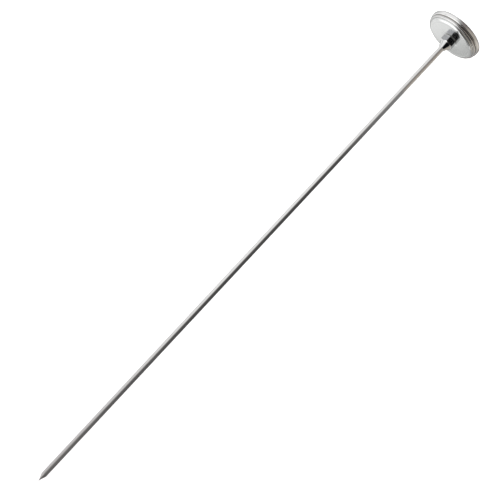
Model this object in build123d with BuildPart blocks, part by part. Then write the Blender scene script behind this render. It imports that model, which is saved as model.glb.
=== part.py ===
"""Dial thermometer with a long stem, as an assembly of separate pieces. Millimetres.

The stem lies along +Y and starts at the origin, where it leaves the hub's nose.
The dial faces -Y, and the middle of its scale is towards +Z.
Turned pieces are drawn as half sections in the XY plane, where X is the radius.
"""

import os
from math import radians, sin

from build123d import *

# Driving dimensions: the head
DIAL_D = 45.0  # outside of the bezel
SHEET_T = 0.6  # pressed stainless sheet of the pan and the bezel
PAN_R = 20.6  # outside of the pan's wall
SHOULDER_R = 4.2  # wide rounding where the pan's rear face falls away
SHOULDER_TURN = 36.0  # degrees it turns before the tighter corner
PAN_DEPTH = 2.6  # rear face to the rear of its flange
FLANGE_W = 0.65  # how far the pan's flange stands out of its wall
DISH_R = 6.6  # shallow pressed seat for the hub's washer
DISH_DEPTH = 0.1
STACK_R = 20.1  # outside of the dial plate, spacer, lens and gasket
WINDOW_R = 17.8  # opening of the bezel
WINDOW_LIP_W = 0.7  # flat edge of the bezel round the window
WINDOW_LIP_T = 0.4
CREST_R = 20.5  # foremost circle of the bezel's bead
BEZEL_FRONT = 8.95  # pan's rear face to the bezel's foremost circle
BEAD_R = 2.0  # outer rounding of the bead
BEAD_REAR_R = 1.0  # rear rounding of the bead
BEAD_BAND = 1.45  # straight band at the bead's widest
NECK_R = 20.8  # bottom of the groove between the bead and the rear lip
NECK_W = 0.7
LIP_MAX_R = 21.9  # widest circle of the rolled rear lip
LIP_REAR_R = 1.1  # roundings of the lip, behind and in front of its widest circle
LIP_FRONT_R = 0.7
DIAL_T = 0.5
DIAL_GAP = 1.9  # dial face to the lens
LENS_T = 1.5
LENS_EDGE = 0.2  # chamfer
GASKET_T = 0.3
GASKET_LAP = 0.2  # how far the gasket stays back from the window
SPACER_IN_R = 18.3
SPACER_T = 0.5

# Driving dimensions: the hub
NOSE_L = 5.0  # tapered nose
NOSE_R = 5.0  # wide end of the nose
HEX_AF = 10.5  # across flats
HEX_H = 5.6
HEX_TURN = 37.5  # a corner's angle from +X towards +Z
HEX_BEVEL = 0.4  # corners turned off at both ends of the hexagon
HEX_FACE_R = 5.35  # circle where the turning leaves the end faces
NOSE_END = 0.2  # length of the bevel at the nose's thin end
NOSE_END_WALL = 0.3  # nose's wall where that bevel starts
NOSE_LAND = 0.1  # flat ring left at the very end
SEAT_T = 0.4  # washer between the hexagon and the pan
SEAT_R = 5.0
HUB_NECK_R = 3.4  # shank that passes through the pan
HUB_NECK_L = 2.6
GROOVE_GAP = 0.5  # pan's floor to the retaining ring's groove
GROOVE_DEPTH = 0.5
GROOVE_W = 0.45
RING_T = 0.4  # retaining ring
RING_R = 4.3
RING_MOUTH = 4.6
SPRING_R = 6.45
SPRING_T = 0.2
SPRING_AIR = 0.02  # gap between the spring and what it presses on
RUNNING = 0.05  # radial clearance of every running fit

# Driving dimensions: the stem
STEM_D = 4.4
STEM_WALL = 0.4
SOCKET_R = 2.0  # reduced end of the tube, pressed into the hub
STEM_L = 489.0  # origin to the point
TIP_L = 6.5  # pointed part
POINT_R = 0.2  # rounding of the point
TAPER_R = 0.55  # where the tip's taper gets slower
TAPER_L = 1.8
SPIGOT_L = 8.0  # tip's shank inside the tube
BUSH_L = 4.0
BEARING_FLANGE_R = 2.8
BEARING_FLANGE_T = 0.3
BUSH_PLACES = (90.0, 200.0, 310.0)
COIL_L = 38.0
COIL_TURNS = 18
COIL_R = 1.05  # middle of the strip
STRIP_T = 0.3
STRIP_W = 1.4
COIL_END_GAP = 0.1  # ends of the coil to the pieces beside them
ANCHOR_L = 10.0
ANCHOR_CHAMFER = 0.3

# Driving dimensions: the movement
SPINDLE_R = 0.5
READING = 15.5  # degrees Celsius shown at rest
SCALE_START = 15.0  # angle of 0 degrees Celsius, clockwise from straight down
DEG_PER_C = 2.75
ARM_L = 15.6
ARM_ROOT_W = 1.2
ARM_END_W = 0.35
TAIL_L = 7.8
TAIL_END_W = 1.65
POINTER_T = 0.3
POINTER_LIFT = 0.65  # above the dial
BOSS_R = 1.7
BOSS_T = 0.4
BOSS_FILLET = 0.3
BUSHING_R = 1.0
BUSHING_PROUD = 0.1  # stands in front of the boss
BUSHING_TAIL = 0.4  # reaches behind the pointer
SPINDLE_PROUD = 0.2
SPINDLE_CHAMFER = 0.15
DIAL_HOLE_R = 1.0
COLLAR_R = 1.3
COLLAR_L = 1.0
COLLAR_PLAY = 0.3  # end play of the spindle under its bearing
CLAMP_R = 1.4
CLAMP_L = 4.0

# Worked-out places along the axis
hex_top = -NOSE_L
hex_foot = hex_top - HEX_H
seat_y = hex_foot - SEAT_T
back_y = seat_y + DISH_DEPTH
pan_floor = back_y - SHEET_T
dish_floor = seat_y - SHEET_T
flange_rear = back_y - PAN_DEPTH
flange_front = flange_rear - SHEET_T
dial_face = flange_front - DIAL_T
lens_back = dial_face - DIAL_GAP
lens_face = lens_back - LENS_T
lip_back = lens_face - GASKET_T
crest_y = back_y - BEZEL_FRONT
neck_end = hex_foot - HUB_NECK_L
stem_r = STEM_D / 2
bore_r = stem_r - STEM_WALL
tube_end = STEM_L - TIP_L
anchor_foot = tube_end - SPIGOT_L
coil_foot = anchor_foot - ANCHOR_L
coil_head = coil_foot - COIL_L
bezel_r = DIAL_D / 2
flange_r = PAN_R + FLANGE_W
neck_fit_r = HUB_NECK_R + RUNNING
bore_fit_r = SPINDLE_R + RUNNING

os.makedirs("parts", exist_ok=True)


# ---------------------------------------------------------------- case
with BuildPart() as case_pan:
    with BuildSketch(Plane.XY):
        with BuildLine():
            turn = radians(SHOULDER_TURN)
            flat_r = PAN_R - SHOULDER_R * sin(turn) - SHEET_T * (1 - sin(turn))
            shoulder = JernArc((flat_r, back_y), (1, 0), SHOULDER_R, -SHOULDER_TURN)
            corner = JernArc(shoulder @ 1, shoulder % 1, SHEET_T, SHOULDER_TURN - 90)
            wall = Polyline(
                corner @ 1,
                (PAN_R, flange_rear),
                (flange_r, flange_rear),
                (flange_r, flange_front),
                (PAN_R - SHEET_T, flange_front),
                (PAN_R - SHEET_T, (corner @ 1).Y),
            )
            inside = TangentArc((flat_r, pan_floor), wall @ 1, tangent=(1, 0))
            Polyline(
                inside @ 0,
                (DISH_R + SHEET_T, pan_floor),
                (DISH_R + SHEET_T - DISH_DEPTH, dish_floor),
                (neck_fit_r, dish_floor),
                (neck_fit_r, seat_y),
                (DISH_R, seat_y),
                (DISH_R + DISH_DEPTH, back_y),
                shoulder @ 0,
            )
        make_face()
    revolve(axis=Axis.Y)
case_pan.part.label = "case_pan"
export_step(case_pan.part, "parts/case_pan.step")


# One bent sheet: the front bead, the neck behind it and the lip rolled over the pan's flange.
with BuildPart() as bezel:
    with BuildSketch(Plane.XY):
        with BuildLine():
            inside_r = STACK_R + RUNNING
            band_front = crest_y + BEAD_R
            band_rear = band_front + BEAD_BAND
            bead_rear = band_rear + BEAD_REAR_R
            neck_front = bead_rear + NECK_W
            lip_y = neck_front + LIP_FRONT_R
            lip_rear = lip_y + LIP_REAR_R
            sheet_r = bezel_r - SHEET_T
            window = Polyline(
                (WINDOW_R, lip_back),
                (WINDOW_R, lip_back - WINDOW_LIP_T),
                (WINDOW_R + WINDOW_LIP_W, lip_back - WINDOW_LIP_T),
            )
            slope = TangentArc((CREST_R, crest_y), window @ 1, tangent=(-1, 0))
            bead = TangentArc(slope @ 0, (bezel_r, band_front), tangent=(1, 0))
            band = Line(bead @ 1, (bezel_r, band_rear))
            behind = TangentArc(band @ 1, (bezel_r - BEAD_REAR_R, bead_rear), tangent=(0, 1))
            groove_in = Line(behind @ 1, (NECK_R + NECK_W / 2, bead_rear))
            groove = TangentArc(groove_in @ 1, (NECK_R + NECK_W / 2, neck_front), tangent=(-1, 0))
            groove_out = Line(groove @ 1, (LIP_MAX_R - LIP_FRONT_R, neck_front))
            lip_front = TangentArc(groove_out @ 1, (LIP_MAX_R, lip_y), tangent=(1, 0))
            lip = TangentArc(lip_front @ 1, (LIP_MAX_R - LIP_REAR_R, lip_rear), tangent=(0, 1))
            Polyline(
                lip @ 1,
                (PAN_R + RUNNING, lip_rear),
                (PAN_R + RUNNING, flange_rear),
                (flange_r, flange_rear),
                (flange_r, flange_front),
                (inside_r, flange_front),
                (inside_r, bead_rear - SHEET_T),
                (sheet_r, bead_rear - SHEET_T),
                (sheet_r, band_front),
            )
            roof = TangentArc((sheet_r, band_front), (CREST_R, crest_y + SHEET_T), tangent=(0, -1))
            Polyline(roof @ 1, (inside_r, lip_back - SHEET_T), (inside_r, lip_back), window @ 0)
        make_face()
    revolve(axis=Axis.Y)
bezel.part.label = "bezel"
export_step(bezel.part, "parts/bezel.step")


with BuildPart() as lens:
    with BuildSketch(Plane.XZ.offset(-lens_back)):
        Circle(STACK_R)
    extrude(amount=LENS_T)
    chamfer(lens.edges().filter_by(GeomType.CIRCLE), length=LENS_EDGE)
lens.part.label = "lens"
export_step(lens.part, "parts/lens.step")


with BuildPart() as lens_gasket:
    with BuildSketch(Plane.XZ.offset(-lens_face)):
        Circle(STACK_R)
        Circle(WINDOW_R + GASKET_LAP, mode=Mode.SUBTRACT)
    extrude(amount=GASKET_T)
lens_gasket.part.label = "lens_gasket"
export_step(lens_gasket.part, "parts/lens_gasket.step")


# Channel-shaped ring that holds the lens off the dial plate.
with BuildPart() as spacer_ring:
    with BuildSketch(Plane.XY):
        with BuildLine():
            Polyline(
                (SPACER_IN_R, dial_face),
                (STACK_R, dial_face),
                (STACK_R, lens_back),
                (SPACER_IN_R, lens_back),
                (SPACER_IN_R, lens_back + SPACER_T),
                (STACK_R - SPACER_T, lens_back + SPACER_T),
                (STACK_R - SPACER_T, dial_face - SPACER_T),
                (SPACER_IN_R, dial_face - SPACER_T),
                close=True,
            )
        make_face()
    revolve(axis=Axis.Y)
spacer_ring.part.label = "spacer_ring"
export_step(spacer_ring.part, "parts/spacer_ring.step")


with BuildPart() as dial_plate:
    with BuildSketch(Plane.XZ.offset(-flange_front)):
        Circle(STACK_R)
        Circle(DIAL_HOLE_R, mode=Mode.SUBTRACT)
    extrude(amount=DIAL_T)
dial_plate.part.label = "dial_plate"
export_step(dial_plate.part, "parts/dial_plate.step")


# ---------------------------------------------------------------- hub and stem
# Hexagon turned off at its corners, with a tapered nose and a grooved shank.
with BuildPart() as hex_hub:
    with BuildSketch(Plane.XZ.offset(-hex_top)):
        RegularPolygon(HEX_AF / 2, side_count=6, major_radius=False, rotation=HEX_TURN)
    extrude(amount=HEX_H)
    with BuildSketch(Plane.XY):
        with BuildLine():
            corner_r = HEX_AF / 3**0.5 + RUNNING
            Polyline(
                (0, hex_top),
                (HEX_FACE_R, hex_top),
                (corner_r, hex_top - HEX_BEVEL),
                (corner_r, hex_foot + HEX_BEVEL),
                (HEX_FACE_R, hex_foot),
                (0, hex_foot),
                close=True,
            )
        make_face()
    revolve(axis=Axis.Y, mode=Mode.INTERSECT)
    with BuildSketch(Plane.XY):
        with BuildLine():
            Polyline(
                (0, hex_top),
                (NOSE_R, hex_top),
                (stem_r + NOSE_END_WALL, -NOSE_END),
                (stem_r + NOSE_LAND, 0),
                (0, 0),
                close=True,
            )
        make_face()
    revolve(axis=Axis.Y)
    with BuildSketch(Plane.XY):
        with BuildLine():
            groove_r = HUB_NECK_R - GROOVE_DEPTH
            groove_rear = pan_floor - GROOVE_GAP
            groove_front = groove_rear - GROOVE_W
            Polyline(
                (0, hex_foot),
                (HUB_NECK_R, hex_foot),
                (HUB_NECK_R, groove_rear),
                (groove_r, groove_rear),
                (groove_r, groove_front),
                (HUB_NECK_R, groove_front),
                (HUB_NECK_R, neck_end),
                (0, neck_end),
                close=True,
            )
        make_face()
    revolve(axis=Axis.Y)
    with BuildSketch(Plane.XZ):
        Circle(SOCKET_R)
    extrude(amount=-neck_end, mode=Mode.SUBTRACT)
hex_hub.part.label = "hex_hub"
export_step(hex_hub.part, "parts/hex_hub.step")


with BuildPart() as seat_washer:
    with BuildSketch(Plane.XZ.offset(-hex_foot)):
        Circle(SEAT_R)
        Circle(neck_fit_r, mode=Mode.SUBTRACT)
    extrude(amount=SEAT_T)
seat_washer.part.label = "seat_washer"
export_step(seat_washer.part, "parts/seat_washer.step")


# Coned disc spring, pressed between the pan's floor and the retaining ring.
with BuildPart() as disc_spring:
    with BuildSketch(Plane.XY):
        with BuildLine():
            rim_y = dish_floor - SPRING_AIR
            root_y = groove_rear + SPRING_AIR
            Polyline(
                (SPRING_R, rim_y),
                (SPRING_R, rim_y - SPRING_T),
                (neck_fit_r, root_y),
                (neck_fit_r, root_y + SPRING_T),
                close=True,
            )
        make_face()
    revolve(axis=Axis.Y)
disc_spring.part.label = "disc_spring"
export_step(disc_spring.part, "parts/disc_spring.step")


# Split ring sprung into the shank's groove.
with BuildPart() as retaining_ring:
    with BuildSketch(Plane.XZ.offset(-groove_rear)):
        Circle(RING_R)
        Circle(groove_r, mode=Mode.SUBTRACT)
        with Locations((0, -HUB_NECK_R)):
            Rectangle(RING_MOUTH, 2 * HUB_NECK_R, mode=Mode.SUBTRACT)
    extrude(amount=RING_T)
retaining_ring.part.label = "retaining_ring"
export_step(retaining_ring.part, "parts/retaining_ring.step")


# Flanged bush in the tube's upper end.
with BuildPart() as upper_bearing:
    with BuildSketch(Plane.XY):
        with BuildLine():
            Polyline(
                (bore_fit_r, neck_end - BEARING_FLANGE_T),
                (BEARING_FLANGE_R, neck_end - BEARING_FLANGE_T),
                (BEARING_FLANGE_R, neck_end),
                (bore_r, neck_end),
                (bore_r, neck_end + BUSH_L),
                (bore_fit_r, neck_end + BUSH_L),
                close=True,
            )
        make_face()
    revolve(axis=Axis.Y)
upper_bearing.part.label = "upper_bearing"
export_step(upper_bearing.part, "parts/upper_bearing.step")


# The tube's end is reduced where it's pressed into the hub, and its shoulder meets the nose.
with BuildPart() as stem_tube:
    with BuildSketch(Plane.XY):
        with BuildLine():
            Polyline(
                (bore_r, neck_end),
                (SOCKET_R, neck_end),
                (SOCKET_R, 0),
                (stem_r, 0),
                (stem_r, tube_end),
                (bore_r, tube_end),
                close=True,
            )
        make_face()
    revolve(axis=Axis.Y)
stem_tube.part.label = "stem_tube"
export_step(stem_tube.part, "parts/stem_tube.step")


for number, place in enumerate(BUSH_PLACES, start=1):
    with BuildPart() as guide_bush:
        with BuildSketch(Plane.XZ.offset(-place)):
            Circle(bore_r)
            Circle(bore_fit_r, mode=Mode.SUBTRACT)
        extrude(amount=-BUSH_L)
    guide_bush.part.label = f"guide_bush_{number}"
    export_step(guide_bush.part, f"parts/guide_bush_{number}.step")


# Flat bimetal strip wound into a helix. Its far end is held by the anchor.
with BuildPart() as bimetal_coil:
    coil_margin = STRIP_W / 2 + COIL_END_GAP
    turns_l = COIL_L - 2 * coil_margin
    coil_start = (0, coil_head + coil_margin, 0)
    with BuildLine() as coil_line:
        Helix(turns_l / COIL_TURNS, turns_l, COIL_R, center=coil_start, direction=(0, 1, 0))
    first = coil_line.line @ 0
    outward = Vector(first.X, 0, first.Z)
    with BuildSketch(Plane(first, x_dir=outward, z_dir=coil_line.line % 0)):
        Rectangle(STRIP_T, STRIP_W)
    sweep(path=coil_line.line, is_frenet=True)
bimetal_coil.part.label = "bimetal_coil"
export_step(bimetal_coil.part, "parts/bimetal_coil.step")


with BuildPart() as coil_anchor:
    with BuildSketch(Plane.XZ.offset(-coil_foot)):
        Circle(bore_r)
    extrude(amount=-ANCHOR_L)
    chamfer(coil_anchor.edges().filter_by(GeomType.CIRCLE), length=ANCHOR_CHAMFER)
coil_anchor.part.label = "coil_anchor"
export_step(coil_anchor.part, "parts/coil_anchor.step")


# Solid point with a shank that is brazed into the tube.
with BuildPart() as stem_tip:
    with BuildSketch(Plane.XY):
        with BuildLine():
            shoulder = Polyline(
                (0, anchor_foot),
                (bore_r, anchor_foot),
                (bore_r, tube_end),
                (stem_r, tube_end),
                (TAPER_R, STEM_L - TAPER_L),
                (POINT_R, STEM_L - POINT_R),
            )
            TangentArc((0, STEM_L), shoulder @ 1, tangent=(1, 0))
            Line((0, STEM_L), (0, anchor_foot))
        make_face()
    revolve(axis=Axis.Y)
stem_tip.part.label = "stem_tip"
export_step(stem_tip.part, "parts/stem_tip.step")


# ---------------------------------------------------------------- movement
pointer_back = dial_face - POINTER_LIFT
pointer_face = pointer_back - POINTER_T
boss_face = pointer_face - BOSS_T
spindle_head = boss_face - SPINDLE_PROUD
pointer_turn = 270 - SCALE_START - DEG_PER_C * READING

# Flat pointer: a tapered arm and a short tail with a round end, drawn with the arm along local X.
pointer_way = Vector(1, 0, 0).rotate(Axis.Y, -pointer_turn)
with BuildPart() as pointer:
    with BuildSketch(Plane((0, pointer_back, 0), x_dir=pointer_way, z_dir=(0, -1, 0))):
        with BuildLine():
            tail_r = TAIL_END_W / 2
            outline = Polyline(
                (-TAIL_L + tail_r, -tail_r),
                (0, -ARM_ROOT_W / 2),
                (ARM_L, -ARM_END_W / 2),
                (ARM_L, ARM_END_W / 2),
                (0, ARM_ROOT_W / 2),
                (-TAIL_L + tail_r, tail_r),
            )
            ThreePointArc(outline @ 1, (-TAIL_L, 0), outline @ 0)
        make_face()
        Circle(BOSS_R)
        Circle(BUSHING_R, mode=Mode.SUBTRACT)
    extrude(amount=POINTER_T)
pointer.part.label = "pointer"
export_step(pointer.part, "parts/pointer.step")


with BuildPart() as pointer_boss:
    with BuildSketch(Plane.XZ.offset(-pointer_face)):
        Circle(BOSS_R)
        Circle(BUSHING_R, mode=Mode.SUBTRACT)
    extrude(amount=BOSS_T)
    fillet(pointer_boss.edges().group_by(Axis.Y)[0].sort_by(SortBy.RADIUS)[-1], radius=BOSS_FILLET)
pointer_boss.part.label = "pointer_boss"
export_step(pointer_boss.part, "parts/pointer_boss.step")


with BuildPart() as pointer_bushing:
    with BuildSketch(Plane.XZ.offset(-pointer_back - BUSHING_TAIL)):
        Circle(BUSHING_R)
        Circle(SPINDLE_R, mode=Mode.SUBTRACT)
    extrude(amount=BUSHING_TAIL + pointer_back - boss_face + BUSHING_PROUD)
pointer_bushing.part.label = "pointer_bushing"
export_step(pointer_bushing.part, "parts/pointer_bushing.step")


with BuildPart() as spindle:
    with BuildSketch(Plane.XZ.offset(-spindle_head)):
        Circle(SPINDLE_R)
    extrude(amount=spindle_head - coil_head)
    chamfer(spindle.edges().group_by(Axis.Y)[0], length=SPINDLE_CHAMFER)
spindle.part.label = "spindle"
export_step(spindle.part, "parts/spindle.step")


# Collar under the bearing: it keeps the spindle from sliding out of the dial.
with BuildPart() as thrust_collar:
    with BuildSketch(Plane.XZ.offset(-neck_end - BUSH_L - COLLAR_PLAY)):
        Circle(COLLAR_R)
        Circle(SPINDLE_R, mode=Mode.SUBTRACT)
    extrude(amount=-COLLAR_L)
thrust_collar.part.label = "thrust_collar"
export_step(thrust_collar.part, "parts/thrust_collar.step")


# Collar that joins the coil's near end to the spindle.
with BuildPart() as coil_clamp:
    with BuildSketch(Plane.XZ.offset(CLAMP_L - coil_head)):
        Circle(CLAMP_R)
        Circle(SPINDLE_R, mode=Mode.SUBTRACT)
    extrude(amount=-CLAMP_L)
coil_clamp.part.label = "coil_clamp"
export_step(coil_clamp.part, "parts/coil_clamp.step")
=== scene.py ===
import math

import bmesh
import bpy
from mathutils import Matrix, Vector


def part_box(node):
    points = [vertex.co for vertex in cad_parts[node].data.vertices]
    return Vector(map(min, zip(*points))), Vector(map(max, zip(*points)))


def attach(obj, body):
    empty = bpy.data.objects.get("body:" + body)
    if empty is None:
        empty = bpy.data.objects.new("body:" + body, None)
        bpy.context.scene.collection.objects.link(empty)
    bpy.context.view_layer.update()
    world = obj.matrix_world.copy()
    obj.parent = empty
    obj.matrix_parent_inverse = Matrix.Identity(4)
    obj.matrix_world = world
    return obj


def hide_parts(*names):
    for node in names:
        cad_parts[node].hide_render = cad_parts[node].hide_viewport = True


# Looks of the dial thermometer, built around its CAD frame. Positions are in metres; MM turns millimetres
# into them. The stem runs along +Y and the dial faces -Y, so every turned piece is a half section
# of (radius, y) points spun about the Y axis.

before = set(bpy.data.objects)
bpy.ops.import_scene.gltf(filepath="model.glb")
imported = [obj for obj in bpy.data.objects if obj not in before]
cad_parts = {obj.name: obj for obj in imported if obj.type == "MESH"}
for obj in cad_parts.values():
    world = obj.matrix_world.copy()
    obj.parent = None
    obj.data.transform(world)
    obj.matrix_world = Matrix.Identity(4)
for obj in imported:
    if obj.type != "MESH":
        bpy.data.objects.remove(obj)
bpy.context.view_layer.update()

MM = 0.001
TURN = 2 * math.pi

# Sizes of the pieces that the frame's boxes don't give
SHEET_T = 0.6 * MM
WINDOW_R = 17.8 * MM
WINDOW_LIP_W = 0.7 * MM
WINDOW_LIP_T = 0.4 * MM
CREST_R = 20.5 * MM
BEAD_R = 2.0 * MM
BEAD_BAND = 1.45 * MM
BEAD_REAR_R = 1.0 * MM
NECK_R = 20.8 * MM
NECK_W = 0.7 * MM
LIP_MAX_R = 21.9 * MM
LIP_REAR_R = 1.1 * MM
LIP_FRONT_R = 0.7 * MM
PAN_R = 20.6 * MM
SHOULDER_R = 4.2 * MM
SHOULDER_TURN = 36.0
SEAT_R = 6.6 * MM
SEAT_DEPTH = 0.1 * MM
GROOVE_BACK = 0.7 * MM
GROOVE_HALF = 0.6 * MM
GROOVE_DEPTH = 0.05 * MM
RUNNING = 0.05 * MM
SOCKET_R = 2.0 * MM
STEM_R = 2.2 * MM
NOSE_L = 5.0 * MM
NOSE_R = 5.0 * MM
HEX_AF = 10.5 * MM
HEX_TURN = math.radians(37.5)
TAPER_R = 0.55 * MM
TAPER_L = 1.8 * MM
POINT_R = 0.2 * MM
BOSS_R = 1.7 * MM
BUSHING_R = 1.0 * MM
SPINDLE_R = 0.5 * MM
STEM_WALL = 0.4 * MM
PAN_HOLE_R = 3.45 * MM
DISH_START_R = 5.1 * MM
HUB_NECK_R = 3.4 * MM
HEX_BEVEL = 0.4 * MM
HEX_FACE_R = 5.35 * MM
NOSE_END = 0.2 * MM
NOSE_END_WALL = 0.3 * MM
LENS_EDGE = 0.2 * MM
GASKET_LAP = 0.2 * MM
DIAL_HOLE_R = 1.0 * MM
ARM_L = 15.6 * MM
ARM_ROOT_W = 1.2 * MM
ARM_END_W = 0.35 * MM
TAIL_L = 7.8 * MM
TAIL_END_W = 1.65 * MM

# The scale: degrees of arc are clockwise from straight down, as seen from the front
SCALE_START = 15.0
DEG_PER_C = 2.75
SCALE_MAX = 120
READING = 15.5
TICK_IN = 12.07 * MM
TICK_LONG = 14.8 * MM
TICK_MID = 14.0 * MM
TICK_SHORT = 13.7 * MM
NUMBER_R = 10.8 * MM
NUMBER_H = 1.5 * MM
LONG_NUMBER_IN = 1.1 * MM
STROKE_W = 0.19 * MM
TICK_TEN_W = 0.26 * MM
TICK_FIVE_W = 0.28 * MM
TICK_W = 0.17 * MM
UNIT_DROP = 13.7 * MM
UNIT_H = 1.55 * MM
INK_T = 0.015 * MM


# ---------------------------------------------------------------- mesh helpers
def arc(centre, radius, start, end, steps=12):
    """Points on an arc in the half section, from one angle to another, in degrees."""
    points = []
    for i in range(steps + 1):
        a = math.radians(start + (end - start) * i / steps)
        points.append((centre[0] + radius * math.cos(a), centre[1] + radius * math.sin(a)))
    return points


def rounded(corners, steps=4):
    """A closed outline from (radius, y, fillet) corners, with each fillet as a short arc."""
    outline = []
    count = len(corners)
    for i, (x, y, r) in enumerate(corners):
        if r <= 0:
            outline.append((x, y))
            continue
        here = Vector((x, y))
        before = (Vector(corners[i - 1][:2]) - here).normalized()
        after = (Vector(corners[(i + 1) % count][:2]) - here).normalized()
        half = before.angle(after) / 2
        reach = r / math.tan(half)
        centre = here + (before + after).normalized() * (r / math.sin(half))
        first = here + before * reach - centre
        last = here + after * reach - centre
        sweep = first.angle_signed(last)
        for k in range(steps + 1):
            turned = first.copy()
            turned.rotate(Matrix.Rotation(-sweep * k / steps, 2))
            outline.append(tuple(centre + turned))
    return outline


def shade(mesh, sharp=32.0):
    """Smooth shading, with a sharp edge wherever two faces meet at more than the given angle."""
    bm = bmesh.new()
    bm.from_mesh(mesh)
    bmesh.ops.recalc_face_normals(bm, faces=bm.faces)
    limit = math.radians(sharp)
    for face in bm.faces:
        face.smooth = True
    for edge in bm.edges:
        edge.smooth = not (edge.is_manifold and edge.calc_face_angle(0) > limit)
    bm.to_mesh(mesh)
    bm.free()


def add_piece(name, bm, body, material):
    """Turns a bmesh into a piece that rides on a CAD body."""
    mesh = bpy.data.meshes.new(name)
    bm.to_mesh(mesh)
    bm.free()
    shade(mesh)
    mesh.materials.append(material)
    piece = bpy.data.objects.new(name, mesh)
    bpy.context.scene.collection.objects.link(piece)
    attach(piece, body)
    return piece


def weigh_normals(piece):
    """Keeps flat faces flat to the eye beside their small rounded edges."""
    modifier = piece.modifiers.new("weighted", "WEIGHTED_NORMAL")
    modifier.weight = 50
    modifier.keep_sharp = True


def turned(name, outline, body, material, segments=192, closed=True):
    """Spins a half section about the Y axis. A closed outline makes a ring, an open one ends on the axis."""
    bm = bmesh.new()
    rings = []
    for r, y in outline:
        if r < 1e-7:
            rings.append([bm.verts.new((0, y, 0))])
            continue
        ring = []
        for k in range(segments):
            a = TURN * k / segments
            ring.append(bm.verts.new((r * math.cos(a), y, r * math.sin(a))))
        rings.append(ring)
    pairs = list(zip(rings, rings[1:]))
    if closed:
        pairs.append((rings[-1], rings[0]))
    for one, two in pairs:
        for k in range(segments):
            n = (k + 1) % segments
            corners = [one[k % len(one)], one[n % len(one)], two[n % len(two)], two[k % len(two)]]
            face = list(dict.fromkeys(corners))
            if len(face) > 2:
                bm.faces.new(face)
    piece = add_piece(name, bm, body, material)
    weigh_normals(piece)
    return piece


# ---------------------------------------------------------------- materials
class Nodes:
    """A material's node tree with short calls for what repeats."""

    def __init__(self, name, roughness, metallic=0.0):
        self.material = bpy.data.materials.new(name)
        self.material.use_nodes = True
        self.tree = self.material.node_tree
        self.shader = self.tree.nodes["Principled BSDF"]
        self.set("Roughness", roughness)
        self.set("Metallic", metallic)

    def set(self, socket, value):
        self.shader.inputs[socket].default_value = value

    def node(self, kind, **values):
        made = self.tree.nodes.new(kind)
        for key, value in values.items():
            setattr(made, key, value)
        return made

    def link(self, source, target):
        self.tree.links.new(source, target)

    def place(self, scale):
        """Object coordinates stretched by a scale for each axis."""
        coords = self.node("ShaderNodeTexCoord")
        mapping = self.node("ShaderNodeMapping")
        mapping.inputs["Scale"].default_value = scale
        self.link(coords.outputs["Object"], mapping.inputs["Vector"])
        return mapping.outputs["Vector"]

    def axes(self):
        """The X, Y and Z of the object coordinates, each on its own."""
        coords = self.node("ShaderNodeTexCoord")
        parts = self.node("ShaderNodeSeparateXYZ")
        self.link(coords.outputs["Object"], parts.inputs[0])
        return parts.outputs

    def radius(self):
        """Distance from the Y axis, in metres."""
        parts = self.axes()
        flat = self.node("ShaderNodeCombineXYZ")
        length = self.node("ShaderNodeVectorMath", operation="LENGTH")
        self.link(parts["X"], flat.inputs["X"])
        self.link(parts["Z"], flat.inputs["Z"])
        self.link(flat.outputs[0], length.inputs[0])
        return length.outputs["Value"]

    def rings(self):
        """Coordinates that change only with the distance from the Y axis and with y."""
        joined = self.node("ShaderNodeCombineXYZ")
        self.link(self.radius(), joined.inputs["X"])
        self.link(self.axes()["Y"], joined.inputs["Y"])
        return joined.outputs[0]

    def noise(self, vector, scale, detail=4.0, rough=0.5):
        made = self.node("ShaderNodeTexNoise")
        made.inputs["Scale"].default_value = scale
        made.inputs["Detail"].default_value = detail
        made.inputs["Roughness"].default_value = rough
        self.link(vector, made.inputs["Vector"])
        return made.outputs["Fac"]

    def span(self, value, low, high, start=0.3, end=0.7):
        """Maps a 0 to 1 value onto a range."""
        made = self.node("ShaderNodeMapRange")
        made.inputs["From Min"].default_value = start
        made.inputs["From Max"].default_value = end
        made.inputs["To Min"].default_value = low
        made.inputs["To Max"].default_value = high
        self.link(value, made.inputs["Value"])
        return made.outputs["Result"]

    def mix(self, factor, one, two):
        """A colour between two colours."""
        made = self.node("ShaderNodeMix", data_type="RGBA")
        made.inputs["A"].default_value = (*one, 1)
        made.inputs["B"].default_value = (*two, 1)
        self.link(factor, made.inputs["Factor"])
        return made.outputs["Result"]

    def blend(self, factor, one, two):
        """A colour between two linked colours."""
        made = self.node("ShaderNodeMix", data_type="RGBA")
        self.link(factor, made.inputs["Factor"])
        self.link(one, made.inputs["A"])
        self.link(two, made.inputs["B"])
        return made.outputs["Result"]

    def along_y(self, start, end):
        """0 before start and 1 after end, measured along the stem."""
        return self.span(self.axes()["Y"], 0.0, 1.0, start, end)

    def math(self, operation, one, two):
        made = self.node("ShaderNodeMath", operation=operation)
        self.link(one, made.inputs[0])
        self.link(two, made.inputs[1])
        return made.outputs[0]

    def add(self, one, two):
        return self.math("ADD", one, two)

    def less(self, one, two):
        return self.math("SUBTRACT", one, two)

    def times(self, one, two):
        return self.math("MULTIPLY", one, two)

    def colour(self, factor, one, two):
        self.link(self.mix(factor, one, two), self.shader.inputs["Base Color"])

    def roughen(self, value, low, high):
        self.link(self.span(value, low, high), self.shader.inputs["Roughness"])

    def bump(self, value, height, strength=1.0):
        made = self.node("ShaderNodeBump")
        made.inputs["Strength"].default_value = strength
        made.inputs["Distance"].default_value = height
        self.link(value, made.inputs["Height"])
        self.link(made.outputs["Normal"], self.shader.inputs["Normal"])


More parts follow.
